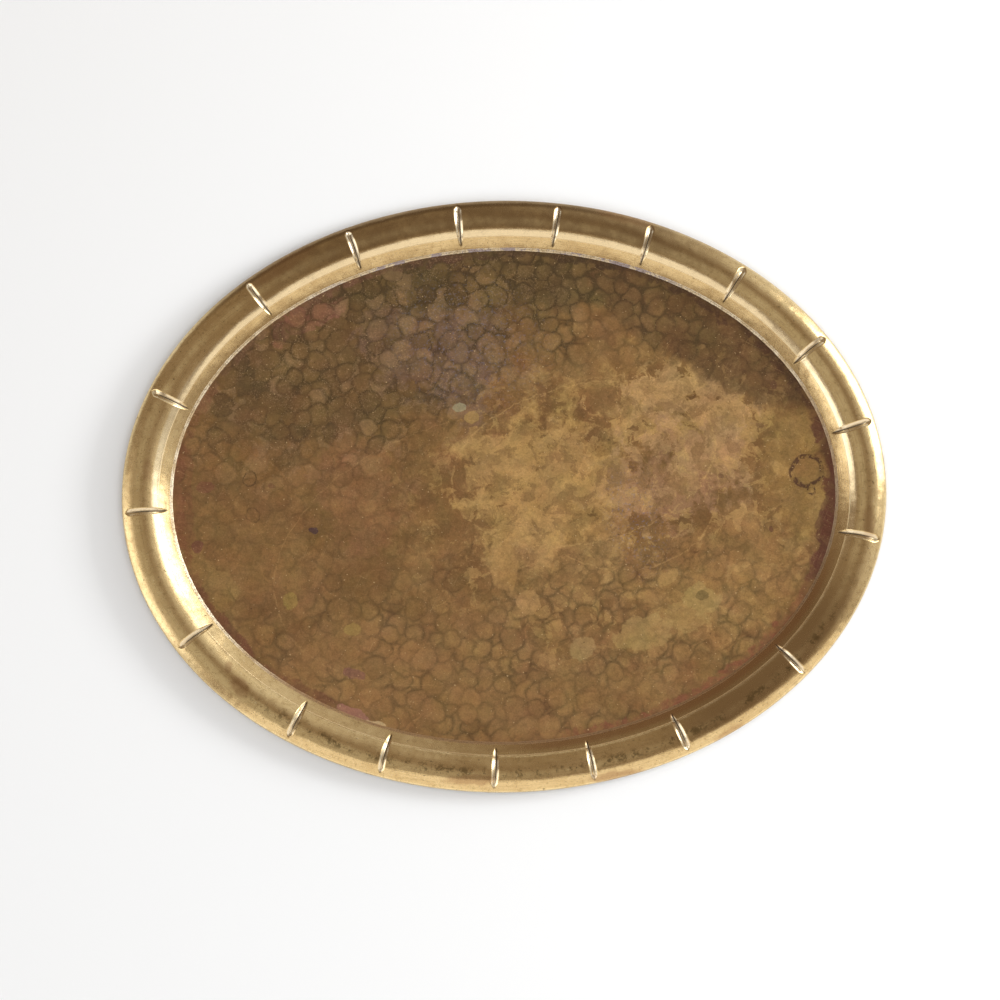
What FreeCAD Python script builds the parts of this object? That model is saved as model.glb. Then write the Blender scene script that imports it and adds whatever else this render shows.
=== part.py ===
import FreeCAD, Part
import math
import os

# Oval brass serving tray: a flat plate inside a separate, hollow rim moulding with pressed notches.
# Millimetres. The tray lies on its flat underside, z = 0, with its centre at the origin and its
# long axis along X. The rim is drawn as a section: "inset" runs inward from the tray's outer edge,
# "height" runs up from the underside, and a slope is positive where the metal rises outward.

# Overall size, over the outer edge of the rim
LENGTH = 420.0
WIDTH = 328.0

# Plate
PLATE_THICKNESS = 1.2
PLATE_INSET = 23.8  # the plate's cut edge, hidden under the rim's lip

# Rim moulding, a pressed sheet: broad round roll, crease, sloping lip and a narrow flat foot
SHEET = 0.8
RIM_HEIGHT = 10.6
CREST_INSET = 10.6
CREST_RADIUS = 12.4
CREASE_SLOPE = math.radians(51)  # where the roll ends, at the crease
LIP_SLOPE = math.radians(34)
FOOT_INSET = 26.8

# The outer edge is curled round a stiffening wire
CURL_RADIUS = 2.0
CURL_END = math.radians(-250)
WIRE_RADIUS = 1.15

# Solder: a fillet on the plate at the foot, and a wedge at the back between plate edge and lip
SEAM_WIDTH = 1.3
BACK_SEAM_INSET = 23.5

# V notches pressed across the rim, at angles of the outer ellipse's parameter. The spacing is
# uneven: the tray was marked out by eye.
NOTCH_ANGLES = [
    13, 31, 49.5, 66, 81, 96.5, 114, 132.5, 158.5,
    183, 211, 235, 250.5, 268, 283, 298, 321, 349.5,
]
NOTCH_DEPTH = 2.3
NOTCH_OUTER_END = 2.3
NOTCH_INNER_END = 23.4
NOTCH_SKEW = 0.65  # below 1 the notch is deepest nearer the outer edge
NOTCH_HALF_ANGLE = math.radians(52)
NOTCH_STEPS = 13
NOTCH_TOOL_LIFT = 0.06  # the pressing tool's edge ends just clear of the surface
RIDGE_OUTER_END = 3.0  # the matching ridge underneath starts clear of the wire
TOOL_CLEARANCE = 1.0

UP = FreeCAD.Vector(0, 0, 1)

# Centres of the section's two arcs, as (inset, height). The arcs share a tangent.
CREST_CENTRE = (CREST_INSET, RIM_HEIGHT - CREST_RADIUS)
CURL_SLOPE = math.asin((CURL_RADIUS - CREST_INSET) / (CREST_RADIUS - CURL_RADIUS))
CURL_CENTRE = (
    CURL_RADIUS,
    CREST_CENTRE[1] + (CREST_RADIUS - CURL_RADIUS) * math.cos(CURL_SLOPE),
)


def on_arc(centre, radius, slope):
    """The point of an arc where the section has this slope, as (inset, height)."""
    return centre[0] + radius * math.sin(slope), centre[1] + radius * math.cos(slope)


CREASE = on_arc(CREST_CENTRE, CREST_RADIUS, CREASE_SLOPE)
FOOT_TOP = PLATE_THICKNESS + SHEET
LIP_FOOT_INSET = CREASE[0] + (CREASE[1] - FOOT_TOP) / math.tan(LIP_SLOPE)


def section_point(point):
    """A point of the section, set up at the tray's +X end."""
    return FreeCAD.Vector(LENGTH / 2 - point[0], 0, point[1])


def arc_edge(centre, radius, start, end):
    stations = [on_arc(centre, radius, slope) for slope in (start, (start + end) / 2, end)]
    return Part.Arc(*[section_point(p) for p in stations]).toShape()


def line_edges(points):
    corners = [section_point(p) for p in points]
    return [Part.LineSegment(a, b).toShape() for a, b in zip(corners, corners[1:])]


def sweep_round(edges):
    """A closed section swept round the tray's outer ellipse, always upright and square to it."""
    centre = FreeCAD.Vector(0, 0, 0)
    path = Part.Wire(Part.Ellipse(centre, LENGTH / 2, WIDTH / 2).toShape())
    pipe = Part.BRepOffsetAPI.MakePipeShell(path)
    pipe.setBiNormalMode(UP)
    pipe.add(Part.Wire(edges))
    pipe.build()
    pipe.makeSolid()
    return pipe.shape()


def floor_plate():
    centre = FreeCAD.Vector(0, 0, 0)
    outline = Part.Ellipse(centre, LENGTH / 2 - PLATE_INSET, WIDTH / 2 - PLATE_INSET)
    return Part.Face(Part.Wire(outline.toShape())).extrude(UP * PLATE_THICKNESS)


def lip_underside():
    """Where the lip's underside meets the roll's (as a slope) and the plate (as an inset)."""
    across = (math.sin(LIP_SLOPE), math.cos(LIP_SLOPE))
    level = across[0] * CREASE[0] + across[1] * CREASE[1] - SHEET
    reach = level - across[0] * CREST_CENTRE[0] - across[1] * CREST_CENTRE[1]
    slope = LIP_SLOPE + math.acos(reach / (CREST_RADIUS - SHEET))
    return slope, (level - across[1] * PLATE_THICKNESS) / across[0]


def moulding_section():
    """The bent sheet: over the top from the foot to the curl, and back along the underside."""
    under_slope, under_inset = lip_underside()
    top = line_edges([
        (under_inset, PLATE_THICKNESS),
        (FOOT_INSET, PLATE_THICKNESS),
        (FOOT_INSET, FOOT_TOP),
        (LIP_FOOT_INSET, FOOT_TOP),
        CREASE,
    ])
    arcs = [
        (CREST_CENTRE, CREST_RADIUS, CREASE_SLOPE, CURL_SLOPE),
        (CURL_CENTRE, CURL_RADIUS, CURL_SLOPE, CURL_END),
    ]
    top += [arc_edge(*arc) for arc in arcs]
    curl_end = line_edges([
        on_arc(CURL_CENTRE, CURL_RADIUS, CURL_END),
        on_arc(CURL_CENTRE, CURL_RADIUS - SHEET, CURL_END),
    ])
    back = [
        arc_edge(CURL_CENTRE, CURL_RADIUS - SHEET, CURL_END, CURL_SLOPE),
        arc_edge(CREST_CENTRE, CREST_RADIUS - SHEET, CURL_SLOPE, under_slope),
    ]
    back += line_edges([
        on_arc(CREST_CENTRE, CREST_RADIUS - SHEET, under_slope),
        (under_inset, PLATE_THICKNESS),
    ])
    return top + curl_end + back


def skin(inset):
    """Height and slope of the moulding's top surface between the curl and the foot."""
    if inset > CREASE[0]:
        return CREASE[1] - (inset - CREASE[0]) * math.tan(LIP_SLOPE), LIP_SLOPE
    slope = math.asin((inset - CREST_INSET) / CREST_RADIUS)
    return on_arc(CREST_CENTRE, CREST_RADIUS, slope)[1], slope


def notch_depth(inset):
    along = (inset - NOTCH_OUTER_END) / (NOTCH_INNER_END - NOTCH_OUTER_END)
    return NOTCH_DEPTH * math.sin(math.pi * along**NOTCH_SKEW)


def notch_frame(angle):
    """The point of the outer ellipse at this angle, with the inward and the along-rim directions."""
    a, b = LENGTH / 2, WIDTH / 2
    turn = math.radians(angle)
    point = FreeCAD.Vector(a * math.cos(turn), b * math.sin(turn), 0)
    inward = FreeCAD.Vector(-b * math.cos(turn), -a * math.sin(turn), 0).normalize()
    return point, inward, inward.cross(UP)


def vee(angle, start, below, above):
    """A V across the rim from `start` to the notch's inner end, as a loft of triangles.

    Its point runs `below` under the notch's own depth, and its flat top runs `above` the skin.
    """
    origin, inward, along = notch_frame(angle)
    triangles = []
    for step in range(NOTCH_STEPS + 1):
        inset = start + (NOTCH_INNER_END - start) * step / NOTCH_STEPS
        height, slope = skin(inset)
        surface = origin + inward * inset + UP * height
        normal = inward * math.sin(slope) + UP * math.cos(slope)
        depth = notch_depth(inset) + below
        side = along * ((depth + above) * math.tan(NOTCH_HALF_ANGLE))
        top = surface + normal * above
        corners = [surface - normal * depth, top + side, top - side]
        triangles.append(Part.makePolygon(corners + corners[:1]))
    return Part.makeLoft(triangles, True, True)


def rim_moulding():
    """The swept sheet, with a V ridge added under each notch and the notch then pressed into it."""
    sheet = sweep_round(moulding_section())
    ridge_drop = SHEET / math.sin(NOTCH_HALF_ANGLE)
    ridges = [vee(angle, RIDGE_OUTER_END, ridge_drop, -SHEET / 2) for angle in NOTCH_ANGLES]
    notches = [vee(angle, NOTCH_OUTER_END, -NOTCH_TOOL_LIFT, TOOL_CLEARANCE) for angle in NOTCH_ANGLES]
    return sheet.fuse(ridges).cut(notches)


def edge_wire():
    circle = Part.Circle(section_point(CURL_CENTRE), FreeCAD.Vector(0, 1, 0), WIRE_RADIUS)
    return sweep_round([circle.toShape()])


def solder_seam():
    """The fillet between the foot's cut edge and the plate."""
    corner = (FOOT_INSET, PLATE_THICKNESS)
    top = (FOOT_INSET, FOOT_TOP)
    toe = (FOOT_INSET + SEAM_WIDTH, PLATE_THICKNESS)
    return sweep_round(line_edges([top, corner, toe, top]))


def back_solder_seam():
    """The wedge of solder behind, in the corner between the plate's edge and the lip."""
    _, under_inset = lip_underside()
    rise = (under_inset - BACK_SEAM_INSET) * math.tan(LIP_SLOPE)
    corner = (under_inset, PLATE_THICKNESS)
    low = (BACK_SEAM_INSET, PLATE_THICKNESS)
    high = (BACK_SEAM_INSET, PLATE_THICKNESS + rise)
    return sweep_round(line_edges([corner, low, high, corner]))


def export(makers):
    os.makedirs("parts", exist_ok=True)
    for make in makers:
        shape = make()
        node = make.__name__
        shape.exportStep(f"parts/{node}.step")
        print(node, shape.isValid(), len(shape.Solids), round(shape.Volume, 1), shape.BoundBox)


export([floor_plate, rim_moulding, edge_wire, solder_seam, back_solder_seam])
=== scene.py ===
import math

import bpy
import numpy as np
from mathutils import Matrix, Vector


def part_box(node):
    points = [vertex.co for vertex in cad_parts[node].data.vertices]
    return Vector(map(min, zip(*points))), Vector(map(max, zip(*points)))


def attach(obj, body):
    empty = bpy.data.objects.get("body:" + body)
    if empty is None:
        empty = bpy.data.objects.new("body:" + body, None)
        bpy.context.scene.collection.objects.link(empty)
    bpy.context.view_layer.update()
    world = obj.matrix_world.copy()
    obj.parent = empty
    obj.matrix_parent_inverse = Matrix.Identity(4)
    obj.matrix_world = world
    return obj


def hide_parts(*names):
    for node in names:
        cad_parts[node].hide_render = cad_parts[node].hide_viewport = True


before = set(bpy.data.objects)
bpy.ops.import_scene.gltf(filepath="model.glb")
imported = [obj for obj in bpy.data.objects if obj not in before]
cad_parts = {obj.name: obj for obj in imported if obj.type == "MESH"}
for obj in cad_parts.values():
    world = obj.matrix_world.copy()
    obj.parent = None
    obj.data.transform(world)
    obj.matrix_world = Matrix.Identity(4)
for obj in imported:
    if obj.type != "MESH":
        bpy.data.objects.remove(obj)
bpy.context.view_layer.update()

# Oval brass tray. Shapes are worked out in millimetres and turned into metres when a mesh is made.
# The rim's section is written as in the CAD: "inset" runs inward from the outer edge, "height" runs
# up from the underside, and a slope is positive where the metal rises outward.
MM = 0.001


def corner_mm(node):
    """The far corner of a CAD node's box, in millimetres."""
    return np.array(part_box(node)[1]) / MM


HALF_LENGTH, HALF_WIDTH, RIM_HEIGHT = corner_mm("rim_moulding")
PLATE_X, PLATE_Y, PLATE_TOP = corner_mm("floor_plate")
FOOT_INSET = HALF_LENGTH - corner_mm("solder_seam")[0]
SHEET = 0.8
FOOT_TOP = PLATE_TOP + SHEET


# ---------------------------------------------------------------- rim section

WAVER = 0.12  # room for the rim's hand-made waviness, inside the CAD's height and edge
WAVER_REACH = 18.0  # the foot stays true, and the waviness is full this far out from it
RISE_WAVER = 0.009
CREST_INSET = 10.1
CREST_RADIUS = 14.0
CREASE = math.radians(46)  # the slope where the roll ends, at the crease
COVE_START = math.radians(37)  # the lip is slightly hollow
COVE_END = math.radians(28)
CURL_RADIUS = 2.0
CURL_END = math.radians(-250)


def on_arc(centre, radius, slope):
    """The point of an arc where the section has this slope, as (inset, height)."""
    return np.array([centre[0] + radius * np.sin(slope), centre[1] + radius * np.cos(slope)]).T


CREST_CENTRE = (CREST_INSET, RIM_HEIGHT - WAVER - CREST_RADIUS)
CREASE_POINT = on_arc(CREST_CENTRE, CREST_RADIUS, CREASE)
COVE_RADIUS = (CREASE_POINT[1] - FOOT_TOP) / (math.cos(COVE_END) - math.cos(COVE_START))
COVE_CENTRE = on_arc(CREASE_POINT, COVE_RADIUS, COVE_START)
CURL_SLOPE = math.asin((CURL_RADIUS - CREST_INSET) / (CREST_RADIUS - CURL_RADIUS))
CURL_CENTRE = on_arc(CREST_CENTRE, CREST_RADIUS - CURL_RADIUS, CURL_SLOPE)


def arc(centre, radius, start, end, count):
    return on_arc(centre, radius, np.linspace(start, end, count))


def rim_section():
    """Points of the bent sheet, which way the notches push each, and which are sharp corners.

    It runs from the foot over the lip, flank and crest to the curl, and back along the underside.
    """
    parts = [
        (np.array([(FOOT_INSET, PLATE_TOP), (FOOT_INSET, FOOT_TOP)]), 0, (0, 1)),
        (arc(COVE_CENTRE, -COVE_RADIUS, COVE_END, COVE_START, 12)[:-1], 1, ()),
        (arc(CREST_CENTRE, CREST_RADIUS, CREASE, CURL_SLOPE, 42), 1, ()),
        (arc(CURL_CENTRE, CURL_RADIUS, CURL_SLOPE, CURL_END, 18)[1:], 0, (16,)),
        (arc(CURL_CENTRE, CURL_RADIUS - SHEET, CURL_END, CURL_SLOPE, 8)[:-1], 0, (0,)),
        (arc(CREST_CENTRE, CREST_RADIUS - SHEET, CURL_SLOPE, CREASE, 14), -1, ()),
        (arc(COVE_CENTRE, -COVE_RADIUS - SHEET, COVE_START, COVE_END, 4)[1:], -1, ()),
    ]
    points, follow, corners = [], [], []
    for part, pressed, sharp in parts:
        corners += [len(points) + i for i in sharp]
        points += list(part)
        follow += [pressed] * len(part)
    return np.array(points), np.array(follow), corners


# ---------------------------------------------------------------- going round the oval

class Oval:
    """The outer edge's points and inward directions, for parameters in radians."""

    def __init__(self, turns):
        self.point = np.array([HALF_LENGTH * np.cos(turns), HALF_WIDTH * np.sin(turns)]).T
        inward = -np.array([HALF_WIDTH * np.cos(turns), HALF_LENGTH * np.sin(turns)]).T
        self.inward = inward / np.linalg.norm(inward, axis=1, keepdims=True)

    def at_insets(self, inset):
        """Points on the ground, as (column, section point, xy), for insets of the same layout."""
        return self.point[:, None, :] + self.inward[:, None, :] * inset[..., None]


def arc_table():
    turns = np.linspace(0, 2 * np.pi, 40001)
    steps = np.linalg.norm(np.diff(Oval(turns).point, axis=0), axis=1)
    return turns, np.concatenate([[0], np.cumsum(steps)])


TABLE_TURNS, TABLE_LENGTHS = arc_table()
PERIMETER = TABLE_LENGTHS[-1]


def turns_at(lengths):
    return np.interp(np.mod(lengths, PERIMETER), TABLE_LENGTHS, TABLE_TURNS)


def lengths_at(turns):
    return np.interp(np.mod(turns, 2 * np.pi), TABLE_TURNS, TABLE_LENGTHS)


def wave(lengths, waves, seed):
    """A smooth closed wobble between -1 and 1 round the rim, with these numbers of cycles."""
    pick = np.random.default_rng(seed)
    total = np.zeros_like(lengths)
    for cycles in waves:
        strength = pick.uniform(0.5, 1.0)
        phase = pick.uniform(0, 2 * np.pi)
        total += strength * np.sin(cycles * 2 * np.pi * lengths / PERIMETER + phase)
    return total / len(waves)


# ---------------------------------------------------------------- notches

# At these parameters of the outer ellipse, unevenly spaced as the tray was marked out by eye
NOTCH_ANGLES = [
    13, 31, 49.5, 66, 81, 96.5, 114, 132.5, 158.5,
    183, 211, 235, 250.5, 268, 283, 298, 321, 349.5,
]
NOTCH_DEPTH = 2.3
NOTCH_SPAN = (2.1, 24.0)  # insets of its two ends
NOTCH_SPREAD = math.tan(math.radians(52))
VALLEY_SHARE = 0.83  # of the depth, before the brim is rounded
BLUNT_END = 0.10  # share of the span in which the outer end falls away
VALLEY_ROUND = 0.008  # square of the radius that rounds the bottom
BRIM_ROUND = 0.12
BRIM_FADE = 4.0  # the brim's lowering dies out over this distance
DENT_DEPTH = 0.22  # the sheet sags a little on both sides of a notch
DENT_WIDTH = 4.6
SHADE_LINE_WIDTH = (0.34, 0.14)  # of the painted shade line along a notch's bottom: at the outer end, and what it gains inward
SHADE_LINE_START = (0.06, 0.2)  # shares of the span: where it begins, and takes to be full
SHADE_LINE_SHIFT = 0.30  # it lies off the centre line, towards the tray's +X side
NOTCH_MIDDLE = 12.0  # a notch leans and bows about this distance from the edge
BOW_LENGTH = 10.0
NOTCH_SIDE = 16.0  # points further off than this, or outside the reach, are left alone
NOTCH_REACH = (-6.0, 40.0)

# Columns of the mesh between two notches
FIRST_STEP = 0.2
FINE_STEP = 0.26
FINE_REACH = 4.0
STEP_GROWTH = 1.25
LONGEST_STEP = 1.9


def rim_columns():
    """Arc lengths round the rim, close together at each notch and wide apart between."""
    marks = np.sort(lengths_at(np.radians(NOTCH_ANGLES)))
    columns = []
    for here, after in zip(marks, np.append(marks[1:], marks[0] + PERIMETER)):
        half = [0.0]
        step = FIRST_STEP
        while half[-1] + step < (after - here) / 2:
            half.append(half[-1] + step)
            fine = half[-1] < FINE_REACH
            step = FINE_STEP if fine else min(step * STEP_GROWTH, LONGEST_STEP)
        half = np.array(half)
        columns += list(here + half) + list((after - half[1:])[::-1])
    return np.sort(np.array(columns))


def press(inset, across, depth, shift, shade_line):
    """How deep a notch is and how much painted shade lies along its bottom, given the inset and the
    distance from its centre line.

    It is blunt at the outer end and runs out to a thin slit inward.
    """
    along = np.clip((inset - NOTCH_SPAN[0] - shift) / (NOTCH_SPAN[1] - NOTCH_SPAN[0]), 0, 1)
    middle = VALLEY_SHARE * depth * np.clip(along / BLUNT_END, 0, 1) ** 0.5
    middle = middle * (1 - along**4) ** 0.55
    valley = middle - np.sqrt(across**2 + VALLEY_ROUND) / NOTCH_SPREAD
    brim = BRIM_ROUND / 2 * np.exp(-np.abs(across) / BRIM_FADE)
    valley = (valley + np.sqrt(valley**2 + BRIM_ROUND**2)) / 2 - brim
    dent = DENT_DEPTH * np.exp(-((across / DENT_WIDTH) ** 2)) * np.sin(np.pi * along) ** 0.8
    width = SHADE_LINE_WIDTH[0] + SHADE_LINE_WIDTH[1] * along**2
    # painted shade: a dark line along the notch's bottom, lying off its centre line
    notch_shade = np.exp(-(((across - shade_line) / width) ** 2))
    notch_shade = notch_shade * np.clip((along - SHADE_LINE_START[0]) / SHADE_LINE_START[1], 0, 1)
    return np.where(along > 0, np.maximum(valley, 0), 0) + dent, notch_shade * (along < 1)


def notch_press(points, inset):
    """How far the notches push each point of the sheet in, and how much painted shade they leave
    along their bottoms.

    Each notch leans, bows and starts a little differently, as struck by hand.
    """
    total, notch_shades = np.zeros(inset.shape), np.zeros(inset.shape)
    pick = np.random.default_rng(21)
    for angle in NOTCH_ANGLES:
        centre = Oval(np.array([np.radians(angle)]))
        lean = pick.normal(0, 0.022)
        depth = NOTCH_DEPTH * pick.uniform(0.86, 1.0)
        shift = pick.uniform(-0.35, 0.45)
        bow = pick.normal(0, 0.25)
        away = points - centre.point[0]
        inward = centre.inward[0]
        side = away @ np.array([-inward[1], inward[0]])
        reach = away @ inward
        near = (np.abs(side) < NOTCH_SIDE) & (reach > NOTCH_REACH[0]) & (reach < NOTCH_REACH[1])
        off = reach - NOTCH_MIDDLE
        across = side + lean * off + bow * ((off / BOW_LENGTH) ** 2 - 0.4)
        push, notch_shade = press(inset, across, depth, shift, -SHADE_LINE_SHIFT * inward[1])
        total += np.where(near, push, 0)
        notch_shades += np.where(near, notch_shade, 0)
    return total, notch_shades


# ---------------------------------------------------------------- meshes

def make_mesh(name, vertices, faces, corners=None, ring=0):
    """A smooth mesh from millimetres. `corners` are the section points that stay sharp."""
    mesh = bpy.data.meshes.new(name)
    mesh.from_pydata((np.asarray(vertices) * MM).tolist(), [], faces)
    mesh.shade_smooth()
    if corners:
        ends = np.empty(len(mesh.edges) * 2, np.int32)
        mesh.edges.foreach_get("vertices", ends)
        place = ends.reshape(-1, 2) % ring
        sharp = (place[:, 0] == place[:, 1]) & np.isin(place[:, 0], corners)
        mark = mesh.attributes.new("sharp_edge", "BOOLEAN", "EDGE")
        mark.data.foreach_set("value", sharp)
    mesh.validate()
    piece = bpy.data.objects.new(name, mesh)
    bpy.context.scene.collection.objects.link(piece)
    return piece


def sweep(name, flat, height, corners):
    """A closed section swept all the way round, from (column, section point) arrays."""
    columns, ring = height.shape
    vertices = np.concatenate([flat, height[..., None]], axis=-1).reshape(-1, 3)
    first = np.arange(columns)[:, None] * ring
    second = (np.arange(columns)[:, None] + 1) % columns * ring
    here = np.arange(ring)[None, :]
    after = (here + 1) % ring
    quads = np.stack([first + here, first + after, second + after, second + here], axis=-1)
    return make_mesh(name, vertices, quads.reshape(-1, 4).tolist(), corners, ring)


def store(piece, name, values):
    """Keep one number per vertex, for the material to read."""
    data = piece.data.attributes.new(name, "FLOAT", "POINT").data
    data.foreach_set("value", np.asarray(values, np.float32).ravel())


def section_normals(points):
    """The section's outward directions, from its neighbours."""
    along = np.roll(points, -1, axis=0) - np.roll(points, 1, axis=0)
    normal = np.array([along[:, 1], -along[:, 0]]).T
    return normal / np.linalg.norm(normal, axis=1, keepdims=True)


def rim_moulding():
    section, follow, corners = rim_section()
    normals = section_normals(section)
    columns = rim_columns()
    oval = Oval(turns_at(columns))
    inset = np.broadcast_to(section[:, 0], (len(columns), len(section)))
    height = np.broadcast_to(section[:, 1], inset.shape)
    grow = np.clip((FOOT_INSET - inset) / WAVER_REACH, 0, 1)
    inset = inset + grow * WAVER * (1 + wave(columns, (2, 3, 5, 9, 14), 3))[:, None]
    rise = 1 + RISE_WAVER * wave(columns, (1, 3, 4, 7, 11, 17), 5)[:, None]
    height = PLATE_TOP + (height - PLATE_TOP) * rise
    push, notch_shade = notch_press(oval.at_insets(inset), inset)
    push = push * follow
    inset = inset - push * normals[:, 0]
    height = height - push * normals[:, 1]
    piece = sweep("rim", oval.at_insets(inset), height, corners)
    store(piece, "around", np.repeat(columns, len(section)))
    store(piece, "inset", np.tile(section[:, 0], len(columns)))
    store(piece, "pressed", push)
    store(piece, "notch_shade", notch_shade * (follow > 0))
    return piece


# How far a point of the solder's section lies in from the foot, and its height in sheets
SEAM_SECTION = np.array([
    (-0.7, -0.2), (-0.7, 1.52), (-0.25, 1.24), (0.15, 0.72), (0.45, 0.33), (0.8, 0.03), (0.8, -0.2),
])
SEAM_CORNERS = (0, 1, 5, 6)
SEAM_STEP = 0.9
SEAM_WIDE = (1.02, 0.28)  # mean and swing of its width
SEAM_TALL = (0.99, 0.05)


def solder_seam():
    """The fillet of solder between foot and plate, lumpy and of uneven width."""
    lengths = np.arange(0, PERIMETER, SEAM_STEP)
    wide = SEAM_WIDE[0] + SEAM_WIDE[1] * wave(lengths, (9, 23, 41, 67, 101, 149, 211), 11)
    tall = SEAM_TALL[0] + SEAM_TALL[1] * wave(lengths, (7, 19, 37, 59, 83, 131), 12)
    inset = FOOT_INSET + SEAM_SECTION[None, :, 0] * wide[:, None]
    height = PLATE_TOP + SHEET * SEAM_SECTION[None, :, 1] * tall[:, None]
    return sweep("seam", Oval(turns_at(lengths)).at_insets(inset), height, SEAM_CORNERS)


# ---------------------------------------------------------------- hammered plate

FACET = 9.4  # distance between hammer marks
MARK_RADIUS = (4.8, 7.0)
MARK_REACH = 16.0  # no mark touches a point further away than this
MARK_MARGIN = 20.0  # marks go on this far past the plate
NO_RIM = 99.0  # distance to a mark's rim where none shows
PLATE_GRID = 500
LEVEL_DROP = 0.07  # the hammered face lies below the plate's edge, and never deeper than the last
DISH_DEPTH = 0.15
DEEPEST = 0.3
TILT = 0.008  # slope of the marks' floors, as a standard deviation
RIDGE_WIDTH = 0.9  # the tilt dies out this near a mark's rim
# Shares of the radius: where the plate is flat again under the rim's foot, and how long it takes
FLAT_EDGE = (0.968, 0.02)


def hammer_marks():
    """Centres of the hammer marks: a loose triangular grid, jittered as a hand places them."""
    pick = np.random.default_rng(5)
    rows = np.arange(-PLATE_Y - MARK_MARGIN, PLATE_Y + MARK_MARGIN, FACET * 0.87)
    marks = []
    for number, y in enumerate(rows):
        xs = np.arange(-PLATE_X - MARK_MARGIN, PLATE_X + MARK_MARGIN, FACET)
        xs = xs + (number % 2) * FACET / 2
        marks.append(np.array([xs, np.full_like(xs, y)]).T)
    marks = np.concatenate(marks)
    return marks + pick.normal(0, FACET * 0.20, marks.shape)


def struck(points, marks, radii):
    """For each point the last mark struck over it, and the distance to the nearest mark's rim.

    A later mark covers the ones before it, so only rims from that mark on still show.
    """
    which = np.empty(len(points), np.int64)
    rim = np.empty(len(points))
    order = np.random.default_rng(15).permutation(len(marks))
    block_size = 2000
    for start in range(0, len(points), block_size):
        here = slice(start, start + block_size)
        block = points[here]
        low, high = block.min(axis=0) - MARK_REACH, block.max(axis=0) + MARK_REACH
        close = np.nonzero(((marks > low) & (marks < high)).all(axis=1))[0]
        gap = np.linalg.norm(block[:, None, :] - marks[None, close, :], axis=2)
        inside = gap - radii[close]
        turn = np.where(inside < 0, order[close][None, :], -1)
        last = turn.argmax(axis=1)
        found = np.take_along_axis(turn, last[:, None], axis=1)
        open_rims = np.where(order[close][None, :] >= found, np.abs(inside), NO_RIM)
        which[here] = np.where(found[:, 0] >= 0, close[last], close[gap.argmin(axis=1)])
        rim[here] = open_rims.min(axis=1)
    return which, rim


def plate_points():
    """A square grid pressed into the plate's oval, with its rows as numbers of the points."""
    side = np.linspace(-1, 1, PLATE_GRID)
    u, v = np.meshgrid(side, side, indexing="ij")
    x = PLATE_X * u * np.sqrt(1 - v**2 / 2)
    y = PLATE_Y * v * np.sqrt(1 - u**2 / 2)
    number = np.arange(PLATE_GRID * PLATE_GRID).reshape(PLATE_GRID, PLATE_GRID)
    return np.array([x.ravel(), y.ravel()]).T, number


def floor_plate():
    points, number = plate_points()
    # marks are a little out of round
    swirl = points @ np.array([[0.8, -0.6], [0.6, 0.8]])
    bend = 0.60 * np.sin(points[:, ::-1] / 3.1)
    bend = bend + 0.40 * np.sin(swirl / 1.6) + 0.22 * np.sin(swirl / 0.83 + 1)
    marks = hammer_marks()
    pick = np.random.default_rng(9)
    radii = pick.uniform(*MARK_RADIUS, len(marks))
    which, line = struck(points + bend, marks, radii)
    random = pick.random(len(marks))[which]
    depth = pick.uniform(0.4, 1.0, len(marks))[which]
    away = np.linalg.norm(points + bend - marks[which], axis=1) / radii[which]
    tilt = pick.normal(0, TILT, (len(marks), 2))[which]
    lean = ((points - marks[which]) * tilt).sum(axis=1)
    edge = np.sqrt((points[:, 0] / PLATE_X) ** 2 + (points[:, 1] / PLATE_Y) ** 2)
    fade = np.clip((FLAT_EDGE[0] - edge) / FLAT_EDGE[1], 0, 1)
    ridge = np.exp(-((line / RIDGE_WIDTH) ** 2))
    drop = LEVEL_DROP + DISH_DEPTH * depth * (1 - away**2).clip(0, 1) + lean * (1 - ridge)
    drop = drop.clip(0.0, DEEPEST)
    top = np.column_stack([points, PLATE_TOP - drop * fade])
    quads = np.stack(
        [number[:-1, :-1], number[1:, :-1], number[1:, 1:], number[:-1, 1:]], axis=-1
    ).reshape(-1, 4)
    outline = np.concatenate(
        [number[:-1, 0], number[-1, :-1], number[:0:-1, -1], number[0, :0:-1]]
    )
    bottom = np.column_stack([points[outline], np.zeros(len(outline))])
    below = np.arange(len(outline)) + len(top)
    wall = np.stack([outline, below, np.roll(below, -1), np.roll(outline, -1)], axis=-1)
    faces = quads.tolist() + wall.tolist() + [below[::-1].tolist()]
    piece = make_mesh("plate", np.concatenate([top, bottom]), faces)
    pad = np.zeros(len(outline))
    for name, values, filler in (("line", line, 9), ("facet", random, 0.5), ("away", away, 0)):
        store(piece, name, np.concatenate([values, pad + filler]))
    piece.data.set_sharp_from_angle(angle=math.radians(40))
    return piece


# ---------------------------------------------------------------- material nodes

def linear(red, green, blue, gain=1.0):
    """A colour seen on screen, as 0 to 255, turned into linear light."""
    def one(value):
        value = value / 255
        return value / 12.92 if value <= 0.04045 else ((value + 0.055) / 1.055) ** 2.4
    return (gain * one(red), gain * one(green), gain * one(blue), 1.0)


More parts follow.
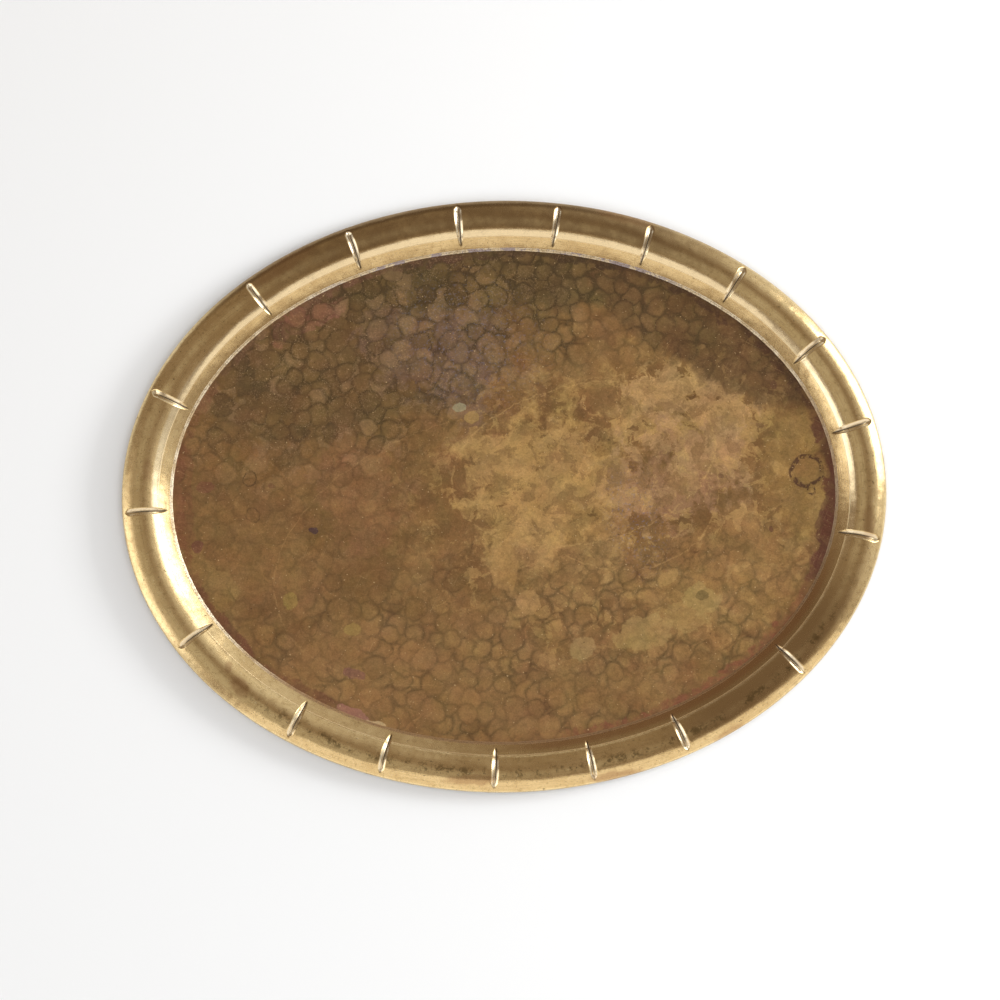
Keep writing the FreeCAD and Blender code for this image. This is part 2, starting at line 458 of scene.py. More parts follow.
class Nodes:
    """Short ways to add nodes to a tree."""

    def __init__(self, tree):
        self.tree = tree

    def node(self, kind, **settings):
        made = self.tree.nodes.new(kind)
        for key, value in settings.items():
            setattr(made, key, value)
        return made

    def feed(self, socket, value):
        if isinstance(value, bpy.types.NodeSocket):
            self.tree.links.new(value, socket)
        else:
            socket.default_value = value

    def vector(self, operation, first, second=None, scale=None):
        made = self.node("ShaderNodeVectorMath", operation=operation)
        self.feed(made.inputs[0], first)
        if second is not None:
            self.feed(made.inputs[1], second)
        if scale is not None:
            self.feed(made.inputs["Scale"], scale)
        return made.outputs["Value" if operation in ("LENGTH", "DOT_PRODUCT") else "Vector"]

    def math(self, operation, first, second=0.0):
        made = self.node("ShaderNodeMath", operation=operation)
        self.feed(made.inputs[0], first)
        self.feed(made.inputs[1], second)
        return made.outputs[0]

    def add(self, first, second):
        return self.math("ADD", first, second)

    def times(self, first, *others):
        for other in others:
            first = self.math("MULTIPLY", first, other)
        return first

    def span(self, value, low, high, out_low=0.0, out_high=1.0, smooth=True):
        """`value` from low to high turned into out_low to out_high, and held there beyond."""
        made = self.node("ShaderNodeMapRange")
        made.interpolation_type = "SMOOTHSTEP" if smooth else "LINEAR"
        self.feed(made.inputs["Value"], value)
        names = ("From Min", "From Max", "To Min", "To Max")
        for name, number in zip(names, (low, high, out_low, out_high)):
            made.inputs[name].default_value = number
        return made.outputs["Result"]

    def mix(self, share, first, second, blend="MIX"):
        made = self.node("ShaderNodeMix", data_type="RGBA", blend_type=blend)
        self.feed(made.inputs["Factor"], share)
        self.feed(made.inputs[6], first)
        self.feed(made.inputs[7], second)
        return made.outputs[2]


class Shader(Nodes):
    """A material. Places and sizes on the tray are in millimetres."""

    def __init__(self, name):
        self.material = bpy.data.materials.new(name)
        self.material.use_nodes = True
        super().__init__(self.material.node_tree)
        self.surface = self.tree.nodes["Principled BSDF"]
        place = self.node("ShaderNodeTexCoord")
        self.place = self.vector("SCALE", place.outputs["Object"], scale=1 / MM)

    def attribute(self, name):
        return self.node("ShaderNodeAttribute", attribute_name=name).outputs["Fac"]

    def noise(self, size, detail=3.0, roughness=0.55, at=None, offset=0.0, distortion=0.0):
        """Noise of that grain size, about 0.2 to 0.8. Offsets keep equal noises apart."""
        made = self.node("ShaderNodeTexNoise", noise_dimensions="3D")
        at = self.place if at is None else at
        if offset:
            at = self.vector("ADD", at, (offset, offset * 0.7, offset * 1.3))
        self.feed(made.inputs["Vector"], at)
        made.inputs["Scale"].default_value = 1 / size
        made.inputs["Detail"].default_value = detail
        made.inputs["Roughness"].default_value = roughness
        made.inputs["Distortion"].default_value = distortion
        return made.outputs[0]

    def noise_colour(self, size, detail):
        made = self.node("ShaderNodeTexNoise", noise_dimensions="3D")
        self.feed(made.inputs["Vector"], self.place)
        made.inputs["Scale"].default_value = 1 / size
        made.inputs["Detail"].default_value = detail
        return made.outputs["Color"]

    def shaken(self, size, detail, reach):
        """The place moved by noise, by `reach` / 2 on average, to make outlines ragged."""
        away = self.vector("SCALE", self.noise_colour(size, detail), scale=reach)
        return self.vector("ADD", self.place, away)

    def turned(self, x, y, wide, high, turn, deep=1000, at=None):
        """The place in an ellipse's own frame, where its outline is at length 1."""
        made = self.node("ShaderNodeMapping", vector_type="TEXTURE")
        self.feed(made.inputs["Vector"], self.place if at is None else at)
        made.inputs["Location"].default_value = (x, y, 0)
        made.inputs["Rotation"].default_value = (0, 0, math.radians(turn))
        made.inputs["Scale"].default_value = (wide, high, deep)
        return made.outputs[0]

    def patch(self, x, y, wide, high, turn=0.0, soft=0.5, at=None):
        """A soft-edged ellipse on the tray, 1 inside and 0 outside."""
        far = self.vector("LENGTH", self.turned(x, y, wide, high, turn, at=at))
        return self.span(far, 1 + soft, 1 - soft)

    def ring(self, x, y, wide, high, turn, thick, at=None):
        """A thin closed outline on the tray. `thick` is its half-width as a share of the radius."""
        far = self.vector("LENGTH", self.turned(x, y, wide, high, turn, at=at))
        off = self.math("ABSOLUTE", self.math("SUBTRACT", far, 1.0))
        return self.span(off, thick, thick * 0.35)

    def grey(self, value):
        made = self.node("ShaderNodeCombineColor")
        for socket in made.inputs[:3]:
            self.feed(socket, value)
        return made.outputs[0]

    def bump(self, height, distance, strength=1.0, normal=None):
        made = self.node("ShaderNodeBump")
        self.feed(made.inputs["Height"], height)
        made.inputs["Distance"].default_value = distance * MM
        made.inputs["Strength"].default_value = strength
        if normal is not None:
            self.feed(made.inputs["Normal"], normal)
        return made.outputs[0]

    def finish(self, colour, metallic, roughness, normal):
        names = ("Base Color", "Metallic", "Roughness", "Normal")
        for name, value in zip(names, (colour, metallic, roughness, normal)):
            self.feed(self.surface.inputs[name], value)
        return self.material


# ---------------------------------------------------------------- rim brass

STAIN_COLOUR = (0.36, 0.19, 0.09)
STAIN_SHAKE = 4.0

# x, y, half-width, half-height, turn, share
RIM_STAINS = (
    (-145, -105, 4.0, 6.5, 35, 0.55),
    (-151, -94, 2.0, 3.0, 0, 0.4),
    (60, -156, 16, 3.0, 5, 0.5),
    (120, -134, 10, 2.5, 30, 0.4),
    (-20, -157, 14, 2.5, 0, 0.45),
    (199, -20, 3.0, 9.0, 0, 0.35),
    (-195, 15, 2.6, 6.0, 0, 0.35),
    (-120, 128, 20, 4.0, 32, 0.35),
    (70, 152, 16, 3.0, -14, 0.35),
)


def rim_brass():
    s = Shader("rim_brass")
    around, inset, pressed, notch_shade = [
        s.attribute(name) for name in ("around", "inset", "pressed", "notch_shade")
    ]
    drawn_out = s.node("ShaderNodeCombineXYZ")
    s.feed(drawn_out.inputs[0], s.times(around, 0.040))
    s.feed(drawn_out.inputs[1], s.times(inset, 1.9))
    lines = s.noise(1.0, 4.0, 0.65, at=drawn_out.outputs[0])
    cloud = s.noise(8, 5.0, 0.65, offset=31)
    mottle = s.noise(2.6, 4.0, 0.7, offset=55)
    speck = s.noise(0.9, 3.0, 0.75, offset=77)

    def coat(mask, share, colour):
        return s.mix(s.times(mask, share), gold, (*colour, 1))

    def band(start, full, last, end):
        """1 between the insets `full` and `last`, and 0 outside `start` and `end`."""
        return s.times(s.span(inset, start, full), s.span(inset, end, last))

    broad = s.span(s.noise(34, 3.0), 0.38, 0.62)
    gold = s.mix(broad, (0.80, 0.62, 0.335, 1), (0.74, 0.56, 0.29, 1))
    for grain, low, high, share, colour in (
        (cloud, 0.46, 0.66, 0.40, (0.60, 0.42, 0.20)),
        (lines, 0.50, 0.66, 0.42, (0.50, 0.35, 0.17)),
        (mottle, 0.53, 0.66, 0.48, (0.44, 0.31, 0.14)),
        (speck, 0.56, 0.68, 0.45, (0.30, 0.19, 0.09)),
    ):
        gold = coat(s.span(grain, low, high), share, colour)
    pits = s.span(s.noise(1.6, 2.0, 0.5, offset=240), 0.70, 0.74)
    gold = coat(pits, 0.7, (0.12, 0.075, 0.035))
    glints = s.span(s.noise(0.8, 2.0, 0.5, offset=260), 0.64, 0.70)
    gold = coat(glints, 0.45, (0.93, 0.80, 0.55))
    # the inner flank is paler, except on the near side, which makes the highlight on it paler
    pale_flank = s.times(band(16.0, 17.5, 20.2, 20.6), s.patch(0, 120, 280, 190, 0, 0.15))
    gold = coat(pale_flank, 0.60, (0.87, 0.755, 0.53))
    # the roll is browner along the far side and at the near right
    roll = s.times(s.span(inset, 17.2, 15.2), s.span(cloud, 0.3, 0.6, 0.6, 1.0))
    gold = coat(s.times(roll, s.patch(-10, 168, 160, 70, 0, 0.35)), 0.85, (0.36, 0.25, 0.13))
    # painted shade: the outer edge along the far side is darkened, standing in for a dark
    # reflection there
    outer = s.times(s.patch(-55, 168, 150, 75, 8, 0.30), s.span(inset, 5.0, 3.0))
    gold = coat(outer, 0.75, (0.22, 0.14, 0.07))
    near = s.times(s.patch(150, -105, 75, 60, -35, 0.4), s.span(inset, 4.5, 7.5))
    gold = coat(near, 0.85, (0.42, 0.29, 0.15))
    # granular dark patches along the crest of the near half
    crest_dark_grain = s.times(band(6.5, 9.5, 11.0, 14.5), s.patch(60, -170, 230, 130, 0, 0.2))
    crest_dark_grain = s.times(crest_dark_grain, s.span(s.noise(6, 6.0, 0.8, offset=201), 0.50, 0.59))
    gold = coat(crest_dark_grain, 0.75, (0.20, 0.14, 0.06))
    # the lip is duller than the roll, with a painted highlight: a bright line at the crease between
    # them, where the metal is also rougher
    lip = s.times(s.span(inset, 20.0, 20.6), s.span(cloud, 0.3, 0.65, 0.65, 1.0))
    dullness = s.add(0.22, s.times(s.patch(110, -110, 110, 70, 25, 0.4), 0.42))
    gold = coat(lip, dullness, (0.42, 0.28, 0.135))
    ruddy = s.times(s.span(inset, 21.0, 24.0), s.patch(110, -120, 120, 70, 30, 0.3))
    gold = coat(ruddy, 0.6, (0.40, 0.215, 0.105))
    # painted highlight along the crease
    crease_highlight = band(19.9, 20.1, 20.25, 20.5)
    gold = coat(crease_highlight, 0.7, (0.93, 0.75, 0.46))
    # the notches' walls are painted bright as a painted highlight, with painted shade along their
    # bottoms
    gold = coat(s.span(pressed, 0.25, 0.7), 0.60, (0.93, 0.86, 0.70))
    gold = coat(notch_shade, 0.93, (0.045, 0.022, 0.012))
    shaken = s.shaken(5, 4.0, STAIN_SHAKE)
    for x, y, wide, high, turn, share in RIM_STAINS:
        at = (x + STAIN_SHAKE / 2, y + STAIN_SHAKE / 2)
        gold = coat(s.patch(*at, wide, high, turn, 0.35, shaken), share, STAIN_COLOUR)
    satin = s.times(s.patch(-200, -40, 60, 80, 0, 0.4), s.span(inset, 20.2, 19.0))
    rough = s.add(s.span(cloud, 0.3, 0.7, 0.14, 0.22), s.span(speck, 0.52, 0.7, 0, 0.12))
    for mask, more in ((notch_shade, 0.4), (lip, 0.05), (crease_highlight, 0.30), (satin, 0.10)):
        rough = s.add(rough, s.times(mask, more))
    normal = s.bump(s.noise(16, 2.0), 0.9, 0.5)
    normal = s.bump(lines, 0.04, 0.7, normal)
    normal = s.bump(mottle, 0.04, 0.5, normal)
    normal = s.bump(speck, 0.03, 0.6, normal)
    return s.finish(gold, 1.0, rough, normal)


# ---------------------------------------------------------------- plate patina

GAIN = 1.34  # the plate's colours are given as seen on screen, where they come out darker
ZONE_SHAKE = 24.0
SPOT_SHAKE = 4.0

# x, y, half-width, half-height, turn, raggedness, colour on screen, share, softness of the edge
ZONES = (
    (-70, 92, 105, 52, 22, 0.5, (90, 68, 45), 0.75, 0.25),
    (-38, 84, 42, 28, -20, 1.0, (110, 86, 74), 0.60, 0.16),
    (-22, 70, 15, 36, 10, 1.2, (103, 84, 86), 0.34, 0.14),
    (-104, 106, 26, 9, 30, 1.4, (124, 80, 68), 0.70, 0.08),
    (28, 2, 50, 48, 20, 1.4, (150, 117, 74), 0.72, 0.10),
    (20, 6, 38, 34, 30, 1.8, (166, 132, 86), 0.62, 0.05),
    (104, 38, 40, 38, -20, 1.6, (158, 126, 82), 0.80, 0.07),
    (104, 52, 32, 20, -10, 2.0, (166, 132, 94), 0.62, 0.045),
    (98, 10, 36, 28, 15, 1.3, (152, 117, 90), 0.55, 0.14),
    (64, 74, 34, 14, 10, 1.4, (136, 106, 66), 0.40, 0.08),
    (0, 124, 130, 20, 0, 0.5, (77, 62, 40), 0.90, 0.20),
    (110, 96, 80, 26, -34, 0.6, (88, 64, 42), 0.92, 0.18),
    (180, 48, 7, 60, 8, 0.5, (80, 54, 38), 0.75, 0.20),
    (161, 8, 18, 38, 0, 0.8, (141, 112, 67), 0.60, 0.16),
    (40, -44, 46, 18, -10, 1.5, (148, 114, 76), 0.50, 0.06),
    (118, -52, 46, 34, 25, 0.9, (148, 114, 72), 0.60, 0.18),
    (-30, -96, 120, 34, 0, 0.8, (134, 101, 66), 0.55, 0.20),
    (-168, -50, 16, 36, 25, 0.8, (138, 108, 68), 0.50, 0.16),
    (178, -26, 5, 44, -8, 0.8, (84, 50, 42), 0.80, 0.14),
    (-150, -76, 40, 5, -52, 0.8, (104, 64, 48), 0.65, 0.14),
    (-178, 16, 5, 50, 6, 0.8, (116, 74, 52), 0.60, 0.14),
    (-78, 2, 24, 34, 20, 1.0, (130, 88, 64), 0.35, 0.18),
)

# stretches of the reddish or dark margin along the rim's foot, the dark ones partly painted shade
# from the rim and partly crust:
# x, y, half-width, half-height, turn, colour on screen, share
MARGINS = (
    (110, -120, 90, 60, 35, (120, 72, 54), 0.80),
    (182, -10, 22, 70, 0, (92, 54, 44), 0.80),
    (120, 105, 90, 50, -35, (72, 48, 36), 0.78),
    (30, 140, 80, 34, 0, (68, 51, 36), 0.78),
    (-58, 134, 52, 34, 10, (92, 64, 50), 0.60),
    (-140, -100, 60, 50, -40, (100, 60, 46), 0.62),
    (-178, 20, 24, 70, 0, (112, 68, 50), 0.45),
    (-120, 105, 60, 36, 35, (108, 74, 60), 0.45),
)

# x, y, half-width, half-height, turn, raggedness, colour on screen, share
SPOTS = (
    (-24, 48, 3.4, 2.4, 0, 0.5, (142, 134, 112), 0.80),
    (-17, 43, 3.8, 3.4, 0, 0.6, (154, 124, 80), 0.75),
    (-105, -19, 2.6, 2.0, 0, 1.2, (70, 50, 54), 0.85),
    (-83, -98, 6.0, 2.6, -20, 1.6, (114, 70, 72), 0.55),
    (-84, -120, 10.0, 3.0, -24, 1.4, (150, 104, 96), 0.60),
    (-72, -126, 6.0, 2.2, -15, 1.2, (190, 164, 130), 0.65),
    (-169, -27, 3.6, 3.0, 60, 1.0, (104, 62, 54), 0.70),
    (-118, -58, 4.0, 5.0, 0, 1.8, (142, 120, 66), 0.50),
    (-84, -74, 4.5, 4.0, 0, 1.8, (146, 120, 70), 0.55),
    (76, -78, 16, 9, 10, 2.6, (158, 131, 86), 0.48),
    (107, -60, 9, 8, 0, 2.4, (158, 133, 86), 0.50),
    (108, -58, 3.4, 2.6, 0, 1.4, (92, 76, 46), 0.60),
    (98, -70, 12, 8, 0, 2.6, (156, 128, 82), 0.42),
    (42, -86, 8, 6, 0, 2.0, (158, 132, 92), 0.50),
    (167, 12, 7.0, 6.0, 20, 1.6, (130, 98, 60), 0.55),
    (147, -22, 1.4, 1.4, 0, 0.8, (88, 54, 44), 0.70),
    (120, 8, 1.6, 1.2, 0, 0.8, (92, 60, 50), 0.50),
    (142, 36, 2.6, 1.8, 0, 1.0, (96, 66, 48), 0.55),
    (150, 58, 1.8, 2.6, 0, 1.0, (88, 60, 46), 0.55),
    (-164, 6, 5.0, 3.0, 0, 1.6, (112, 68, 54), 0.50),
    (-128, 6, 2.0, 1.6, 0, 1.0, (100, 62, 48), 0.50),
    (13, -60, 6.0, 7.0, 30, 1.8, (166, 130, 88), 0.55),
    (0, -42, 7.0, 12.0, 0, 1.8, (158, 122, 78), 0.50),
)

# x, y, half-width, half-height, turn, half-thickness as a share of the radius, colour, share
RINGS = (
    (-140, 10, 3.6, 4.2, 0, 0.16, (78, 58, 38), 0.80),
    (-138, -10, 3.6, 4.2, 30, 0.14, (82, 60, 40), 0.65),
    (167, 10, 8.6, 8.0, 20, 0.22, (64, 40, 34), 0.85),
    (169, -1, 2.2, 2.4, 0, 0.30, (60, 36, 34), 0.80),
    (-108, -72, 5.0, 5.6, 0, 0.10, (96, 70, 44), 0.50),
    (44, 16, 74, 44, 12, 0.012, (176, 142, 96), 0.35),
    (60, 10, 60, 52, -25, 0.010, (172, 138, 92), 0.30),
    (-20, -30, 110, 70, 18, 0.006, (160, 126, 84), 0.25),
)


def plate_patina():
    s = Shader("plate_patina")
    line, facet, away = [s.attribute(name) for name in ("line", "facet", "away")]
    cloud = s.noise(22, 7.0, 0.60, offset=12, distortion=0.5)
    flake = s.noise(8.0, 7.0, 0.64, offset=140, distortion=0.6)
    mottle = s.noise(3.2, 5.0, 0.68, offset=51)
    speck = s.noise(0.8, 3.0, 0.75, offset=93)
    fine = s.noise(13, 7.0, 0.66, offset=610, distortion=0.5)
    zone_place = s.shaken(26, 7.0, ZONE_SHAKE)
    spot_place = s.shaken(5, 5.0, SPOT_SHAKE)
    swing = s.math("SUBTRACT", s.add(s.times(cloud, 0.5), s.times(flake, 0.5)), 0.5)

    def ragged(mask, amount, soft):
        """A soft mask broken up by the grain of the patina."""
        value = s.add(mask, s.times(swing, amount * 3.0))
        return s.times(s.span(value, 0.5 - soft, 0.5 + soft), s.span(mask, 0.0, 0.16))

    def tint(mask, share, seen):
        return s.mix(s.times(mask, share), colour, linear(*seen, GAIN))

    def shade(value):
        return s.mix(1.0, colour, s.grey(value), "MULTIPLY")

    colour = s.mix(s.span(cloud, 0.35, 0.65), linear(114, 83, 52, GAIN), linear(126, 94, 60, GAIN))
    for x, y, wide, high, turn, break_up, seen, share, soft in ZONES:
        at = (x + ZONE_SHAKE / 2, y + ZONE_SHAKE / 2)
        mask = ragged(s.patch(*at, wide, high, turn, 0.65, zone_place), break_up, soft)
        colour = tint(mask, share, seen)
    # crisp islands of paler and darker skin
    dry = s.patch(60, -10, 110, 90, 0, 0.5)
    islands = s.times(s.span(cloud, 0.585, 0.60), s.span(dry, 0, 1, 0.15, 1))
    colour = tint(islands, 0.32, (146, 117, 77))
    islands = s.times(s.span(flake, 0.60, 0.615), s.span(dry, 0, 1, 0.12, 1))
    colour = tint(islands, 0.30, (154, 126, 88))
    colour = tint(s.span(flake, 0.385, 0.37), 0.30, (84, 62, 40))
    colour = tint(s.times(s.span(fine, 0.475, 0.46), dry), 0.52, (116, 88, 56))
    colour = tint(s.times(s.span(fine, 0.565, 0.58), dry), 0.42, (174, 140, 92))
    # hammer marks: each has its own tone, palest and darkest in the upper left
    colour = shade(s.span(facet, 0, 1, 0.88, 1.12, smooth=False))
    upper_left = s.patch(-80, 82, 110, 62, 18, 0.5)
    own_tone = s.add(facet, s.times(swing, 1.6))
    pale = s.times(upper_left, s.span(own_tone, 0.74, 0.84), s.span(away, 1.0, 0.85))
    colour = tint(pale, 0.42, (136, 108, 82))
    colour = tint(s.times(upper_left, s.span(own_tone, 0.26, 0.16)), 0.45, (72, 56, 40))
    # hammer marks: a thin dark rim, partly painted shade, with painted shade beside it and a
    # painted highlight in the middle as on a soft dome; clearest at the top, upper left and bottom
    clear = s.add(0.16, s.times(upper_left, 0.34))
    clear = s.add(clear, s.times(s.patch(20, -92, 170, 56, 4, 0.5), 0.26))
    clear = s.add(clear, s.times(s.patch(60, 108, 120, 38, -8, 0.4), 0.42))
    clear = s.times(clear, s.span(s.noise(24, 3.0, offset=3), 0.38, 0.60, 0.30, 1.25))
    clear = s.times(clear, s.span(s.patch(52, 20, 100, 52, 8, 0.35), 0, 1, 1, 0.15))
    thin = s.times(s.span(line, 0.75, 0.15), clear, s.span(mottle, 0.42, 0.56, 0.10, 1.0))
    colour = tint(thin, 0.85, (64, 48, 30))
    # painted shade beside each mark's rim
    mark_edge_shade = s.times(s.span(line, 2.2, 0.0), clear, s.span(flake, 0.40, 0.56, 0.5, 1.1))
    colour = tint(mark_edge_shade, 0.95, (74, 58, 36))
    # painted highlight: lighter towards each mark's middle, as on a dome
    colour = tint(s.times(s.span(away, 0.98, 0.60), clear), 0.42, (134, 106, 68))
    # margins, spots and rings
    foot = s.turned(0, 0, HALF_LENGTH - FOOT_INSET, HALF_WIDTH - FOOT_INSET, 0)
    margin = s.span(s.vector("LENGTH", foot), 0.938, 1.0, smooth=False)
    margin = s.span(s.add(margin, s.times(swing, 2.4)), 0.42, 0.60)
    margin = s.times(margin, s.span(flake, 0.42, 0.56, 0.35, 1.0))
    for x, y, wide, high, turn, seen, share in MARGINS:
        colour = tint(s.times(margin, s.patch(x, y, wide, high, turn, 0.3)), share, seen)
    for x, y, wide, high, turn, break_up, seen, share in SPOTS:
        at = (x + SPOT_SHAKE / 2, y + SPOT_SHAKE / 2)
        mask = ragged(s.patch(*at, wide, high, turn, 0.5, spot_place), break_up * 0.5, 0.12)
        colour = tint(mask, share, seen)
    broken = s.span(mottle, 0.42, 0.50)
    for x, y, wide, high, turn, thick, seen, share in RINGS:
        at = (x + SPOT_SHAKE / 2, y + SPOT_SHAKE / 2)
        mask = s.ring(*at, wide, high, turn, thick, spot_place)
        colour = tint(s.times(mask, broken), share, seen)
    # bluish crystals in the upper left and right of the middle
    crystals = s.add(s.patch(-20, 86, 40, 32, -20, 0.6), s.patch(72, -16, 14, 26, 15, 0.6))
    crystals = s.times(crystals, s.span(s.noise(1.7, 4.0, 0.7, offset=300), 0.56, 0.62))
    colour = tint(crystals, 0.45, (112, 110, 128))
    # scratches in two directions
    for turn, offset in ((64, 0), (-28, 50)):
        lines = s.noise(1.0, 2.0, 0.5, at=s.turned(0, 0, 30, 0.6, turn, deep=1), offset=offset)
        mask = s.times(s.span(lines, 0.655, 0.70), s.span(flake, 0.47, 0.60))
        colour = tint(mask, 0.30, (160, 130, 92))
    colour = s.mix(1.0, colour, (0.98, 1.0, 0.91, 1), "MULTIPLY")
    # grain, dust and specks
    colour = s.mix(0.14, colour, s.noise_colour(13, 6.0), "SOFT_LIGHT")
    colour = shade(s.span(mottle, 0.32, 0.68, 0.87, 1.13, smooth=False))
    colour = shade(s.span(speck, 0.32, 0.68, 0.82, 1.18, smooth=False))
    dust = s.times(s.span(speck, 0.54, 0.62), s.span(flake, 0.44, 0.56))
    colour = tint(s.times(dust, s.add(0.25, upper_left)), 0.30, (158, 128, 96))
    pale_specks = s.span(s.noise(1.5, 2.0, 0.5, offset=410), 0.70, 0.73)
    colour = tint(pale_specks, 0.60, (190, 162, 118))
    dark_specks = s.span(s.noise(2.2, 3.0, 0.6, offset=510), 0.70, 0.73)
    colour = tint(dark_specks, 0.55, (64, 44, 30))
    rough = s.add(s.span(cloud, 0.3, 0.7, 0.38, 0.50), s.span(speck, 0.45, 0.65, 0, 0.1))
    normal = s.bump(speck, 0.04, 0.7, s.bump(mottle, 0.05, 0.7))
    return s.finish(colour, 0.55, rough, normal)


# ---------------------------------------------------------------- solder and wire

def solder():
    """Pale at the far side with a bluish tarnish, brown like the brass at the near side."""
    s = Shader("solder")
    cloud = s.noise(10, 5.0, 0.65)
    speck = s.noise(0.9, 3.0, 0.75, offset=40)
    colour = s.mix(s.span(cloud, 0.38, 0.60), (0.62, 0.48, 0.29, 1), (0.82, 0.72, 0.54, 1))
    tarnish = s.times(s.patch(10, 135, 110, 34, 0, 0.4), s.span(cloud, 0.50, 0.56))
    for mask, share, seen in (
        (tarnish, 0.8, (0.30, 0.25, 0.31)),
        (s.patch(45, -115, 190, 90, 0, 0.25), 0.94, (0.36, 0.215, 0.105)),
        (s.patch(205, 0, 46, 110, 0, 0.3), 0.75, (0.30, 0.19, 0.11)),
        (s.span(speck, 0.50, 0.66), 0.75, (0.14, 0.09, 0.06)),
    ):
        colour = s.mix(s.times(mask, share), colour, (*seen, 1))
    rough = s.span(speck, 0.3, 0.7, 0.34, 0.55)
    return s.finish(colour, 0.7, rough, s.bump(speck, 0.14, 0.8))


def wire_brass():
    s = Shader("wire_brass")
    cloud = s.noise(12, 4.0, 0.6)
    speck = s.noise(0.8, 3.0, 0.7)
    colour = s.mix(s.span(cloud, 0.35, 0.65), (0.62, 0.44, 0.21, 1), (0.38, 0.24, 0.11, 1))
    colour = s.mix(s.span(speck, 0.50, 0.68, 0, 0.5), colour, (0.15, 0.09, 0.04, 1))
    return s.finish(colour, 1.0, s.span(cloud, 0.3, 0.7, 0.28, 0.45), s.bump(speck, 0.05, 0.6))


# ---------------------------------------------------------------- put together

def dress(piece, node, material):
    piece.data.materials.append(material)
    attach(piece, "root")
    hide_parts(node)


dress(floor_plate(), "floor_plate", plate_patina())
dress(rim_moulding(), "rim_moulding", rim_brass())
solder_material = solder()
dress(solder_seam(), "solder_seam", solder_material)
for node, material in (("edge_wire", wire_brass()), ("back_solder_seam", solder_material)):
    for material_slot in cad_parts[node].material_slots:
        material_slot.material = material


# ---------------------------------------------------------------- studio

def studio_floor():
    """A plain pale table, just under the tray."""
    bpy.ops.mesh.primitive_plane_add(size=14, location=(0, 0, -0.0001))
    floor = bpy.context.object
    floor.name = "studio_floor"
    s = Shader("studio_floor")
    cloud = s.span(s.noise(900, 2.0), 0.3, 0.7)
    tone = s.mix(cloud, (0.885, 0.905, 0.925, 1), (0.875, 0.895, 0.915, 1))
    floor.data.materials.append(s.finish(tone, 0.0, 0.9, s.bump(s.noise(2.0), 0.02, 0.2)))


def toward(azimuth, elevation):
    """A direction. Azimuth is counted from +X towards +Y."""
    a, e = math.radians(azimuth), math.radians(elevation)
    return Vector((math.cos(a) * math.cos(e), math.sin(a) * math.cos(e), math.sin(e)))


def softbox(
    name, azimuth, elevation, distance, size, radiance, colour=(1, 1, 1),
    diffuse=True, glossy=True,
):
    """An area light of that radiance, facing the tray. The camera doesn't see it."""
    light = bpy.data.lights.new(name, "AREA")
    light.shape = "RECTANGLE"
    light.size, light.size_y = size
    light.energy = radiance * math.pi * size[0] * size[1]
    light.color = colour
    lamp = bpy.data.objects.new(name, light)
    back = toward(azimuth, elevation)
    lamp.location = back * distance
    lamp.rotation_mode = "QUATERNION"
    lamp.rotation_quaternion = (-back).to_track_quat("-Z", "Y")
    lamp.visible_camera = False
    lamp.visible_glossy = glossy
    lamp.visible_diffuse = diffuse
    bpy.context.scene.collection.objects.link(lamp)
    return lamp


ROOM = (0.31, 0.24, 0.178)

# Pale patches over the dark room: direction, where each starts and is full as a cosine, colour.
# The last is the pale table's surroundings, low all round.
SKY = (
    ((0.3, 0.95, 0), 0.3, 1.0, (0.33, 0.26, 0.19)),
    (toward(28, 15), 0.45, 1.05, (0.95, 0.92, 0.86)),
    (toward(197, 4), 0.84, 1.03, (0.90, 0.88, 0.84)),
    (toward(200, 66), 0.84, 1.0, (0.55, 0.50, 0.42)),
    ((0, 0, 1), 0.13, 0.05, (0.86, 0.86, 0.86)),
)


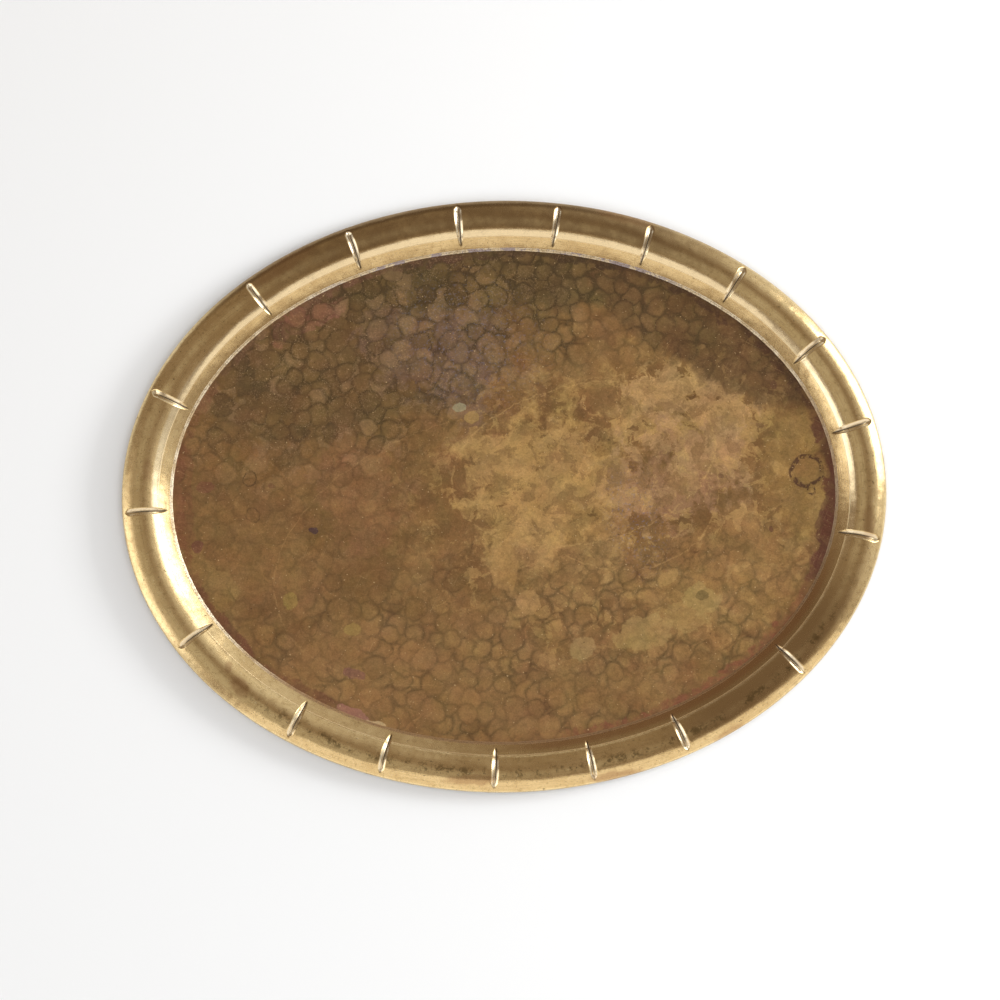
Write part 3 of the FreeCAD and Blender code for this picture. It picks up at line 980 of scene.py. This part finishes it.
def studio_world():
    world = bpy.data.worlds.new("studio")
    world.use_nodes = True
    s = Nodes(world.node_tree)
    s.tree.nodes.clear()
    way = s.node("ShaderNodeTexCoord").outputs["Generated"]
    colour = (*ROOM, 1)
    for direction, start, full, seen in SKY:
        share = s.span(s.vector("DOT_PRODUCT", way, direction), start, full)
        colour = s.mix(share, colour, (*seen, 1))
    shade = s.node("ShaderNodeBackground")
    s.feed(shade.inputs["Color"], colour)
    s.feed(s.node("ShaderNodeOutputWorld").inputs["Surface"], shade.outputs[0])
    bpy.context.scene.world = world


def camera():
    """The photograph's view: almost square on, from a little below the tray's middle."""
    elevation, azimuth, roll = math.radians(82.43), math.radians(1.99), math.radians(-2.87)
    distance = 1529.7
    target = Vector((-2.20, -3.43, 0)) * MM
    back = Vector((
        math.sin(azimuth) * math.cos(elevation),
        -math.cos(azimuth) * math.cos(elevation),
        math.sin(elevation),
    ))
    right = Vector((0, 0, 1)).cross(back).normalized()
    up = back.cross(right)
    across = right * math.cos(roll) + up * math.sin(roll)
    upward = up * math.cos(roll) - right * math.sin(roll)
    lens = bpy.data.cameras.new("camera")
    lens.lens = 100
    lens.sensor_width = 36
    view = bpy.data.objects.new("camera", lens)
    turn = Matrix((across, upward, back)).transposed()
    view.matrix_world = Matrix.Translation(target + back * distance * MM) @ turn.to_4x4()
    bpy.context.scene.collection.objects.link(view)
    bpy.context.scene.camera = view


studio_floor()
studio_world()
# the key and the cards are what the rim reflects, and the spill and overhead light the table
softbox("key", 26, 19, 1.7, (1.05, 1.12), 2.2, (1.0, 0.99, 0.97))
softbox("key_glint", 28, 17, 1.68, (0.80, 0.90), 2.2, diffuse=False)
softbox("key_spill", 10, 19, 1.9, (0.8, 0.4), 28, glossy=False)
softbox("left_card", 190, 20, 1.75, (1.15, 1.12), 1.35, (1.0, 0.99, 0.96), diffuse=False)
table_card = softbox(
    "table_card", 270, 0, 0.55, (1.7, 0.68), 0.76, (1.0, 0.98, 0.92), diffuse=False
)
table_card.location.x, table_card.location.z = 0.25, 0.34
softbox("overhead", 275, 70, 2.1, (2.4, 2.4), 1.45, (0.92, 1.0, 1.09), glossy=False)
camera()
bpy.context.scene.view_settings.view_transform = "Standard"
